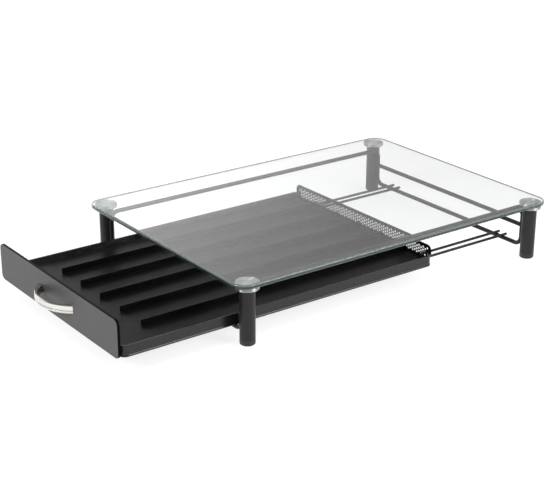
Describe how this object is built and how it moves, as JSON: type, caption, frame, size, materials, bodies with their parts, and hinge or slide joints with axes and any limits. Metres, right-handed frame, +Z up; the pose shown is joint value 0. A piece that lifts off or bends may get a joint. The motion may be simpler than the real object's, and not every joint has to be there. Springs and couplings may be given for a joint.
{
  "type": "coffee pod drawer",
  "caption": "Low glass-topped stand on capped tube legs, with a shallow laned tray that slides out on wire tracks to hold coffee pods; bow handle.",
  "frame": {"origin": "on the floor, under the middle of the bounding box of the part as it stands with its drawer half open", "axes": "+Z up, -Y towards the user, the way the drawer slides out, +X to the user's right"},
  "size_m": [0.2978, 0.5578, 0.068],
  "materials": {
    "tempered_glass": "clear, ground and polished edges",
    "black_powder_steel": "semi-gloss black powder coat",
    "tray_powder_steel": "semi-gloss black powder coat",
    "grey_panel_steel": "satin dark grey powder coat",
    "chrome_plate": "polished chrome plate",
    "spun_steel": "turned face",
    "black_plastic": "moulded, matte",
    "zinc_steel": "bright zinc plate"
  },
  "bodies": {
    "stand": {"glass_top": "tempered_glass", "leg_front_left": "black_powder_steel", "leg_front_right": "black_powder_steel", "leg_rear_left": "black_powder_steel", "leg_rear_right": "black_powder_steel", "foot_front_left": "black_plastic", "foot_front_right": "black_plastic", "foot_rear_left": "black_plastic", "foot_rear_right": "black_plastic", "disc_front_left": "spun_steel", "disc_front_right": "spun_steel", "disc_rear_left": "spun_steel", "disc_rear_right": "spun_steel", "leg_top_plugs": "zinc_steel", "side_rail_left": "black_powder_steel", "side_rail_right": "black_powder_steel", "cross_wire_front": "black_powder_steel", "cross_wire_rear": "black_powder_steel", "mid_rod_rear": "black_powder_steel", "track_rod_left_outer": "black_powder_steel", "track_rod_left_inner": "black_powder_steel", "track_rod_right_inner": "black_powder_steel", "track_rod_right_outer": "black_powder_steel", "front_glide_left": "black_plastic", "front_glide_right": "black_plastic"},
    "drawer": {"front_panel": "grey_panel_steel", "handle": "chrome_plate", "handle_screws": "zinc_steel", "rim_front": "tray_powder_steel", "rim_rear": "tray_powder_steel", "rim_left": "tray_powder_steel", "rim_right": "tray_powder_steel", "rim_corners": "tray_powder_steel", "rear_wall": "tray_powder_steel", "tray_base": "tray_powder_steel", "front_angle": "tray_powder_steel", "lane_divider_1": "tray_powder_steel", "lane_divider_2": "tray_powder_steel", "lane_divider_3": "tray_powder_steel", "lane_divider_4": "tray_powder_steel", "lane_divider_5": "tray_powder_steel", "panel_spacers": "zinc_steel", "panel_screws": "zinc_steel", "runner_left": "tray_powder_steel", "runner_right": "tray_powder_steel", "rear_shoe_left": "black_plastic", "rear_shoe_right": "black_plastic", "shoe_screws": "zinc_steel"}
  },
  "joints": [
    {"name": "drawer_slide", "type": "slide", "parent": "stand", "child": "drawer", "axis": [0, -1, 0], "range_m": [-0.129, 0.194]}
  ]
}
